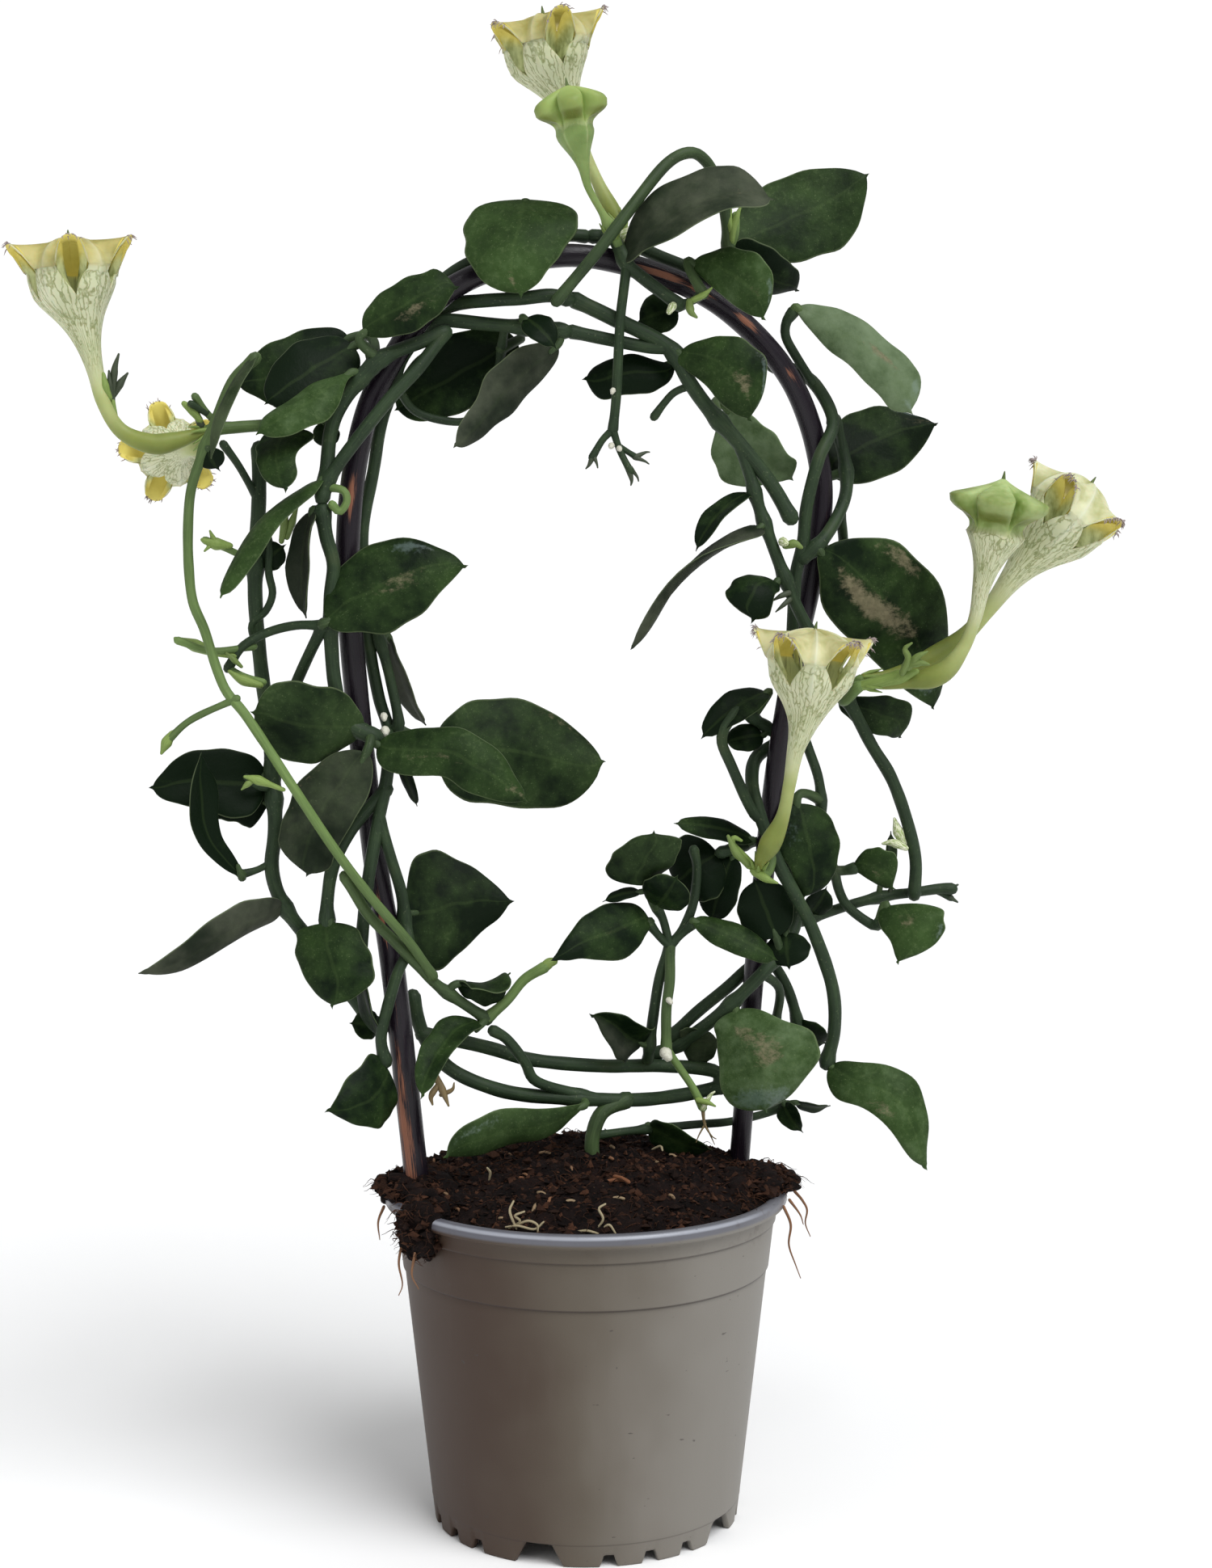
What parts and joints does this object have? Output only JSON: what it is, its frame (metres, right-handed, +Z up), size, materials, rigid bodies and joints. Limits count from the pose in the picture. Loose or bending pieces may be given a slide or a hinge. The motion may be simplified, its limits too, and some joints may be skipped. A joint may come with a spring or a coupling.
{
  "type": "potted parachute plant",
  "caption": "Twining succulent vine with oval leaves and lantern-shaped parachute flowers, trained over a cane hoop in a round nursery pot filled with peat.",
  "frame": {"origin": "centre of the pot's foot ring, on the surface that the pot stands on", "axes": "+Z up along the pot's axis, +X to the right of the hoop seen from its open front, +Y from the front to the back"},
  "size_m": [0.3211, 0.12, 0.4451],
  "materials": {
    "pot_plastic": "satin",
    "peat": "matte",
    "cane": "gloss",
    "foliage": "satin",
    "flower": "matte"
  },
  "bodies": {
    "root": {"pot": "pot_plastic", "peat": "peat", "cane_hoop": "cane", "stem_base": "foliage", "shoot_free": "foliage", "stem_left_low": "foliage", "stem_left_outer": "foliage", "stem_left_mid": "foliage", "stem_left_top": "foliage", "stem_top_left": "foliage", "arch_top": "foliage", "stem_top_right": "foliage", "stem_right_top": "foliage", "stem_right_mid": "foliage", "branch_right": "foliage", "stem_right_foot": "foliage", "flower_top_open": "flower", "flower_top_young": "flower", "flower_left_open": "flower", "flower_left_back": "flower", "flower_right_young": "flower", "flower_right_open": "flower", "flower_front_open": "flower"}
  },
  "joints": []
}
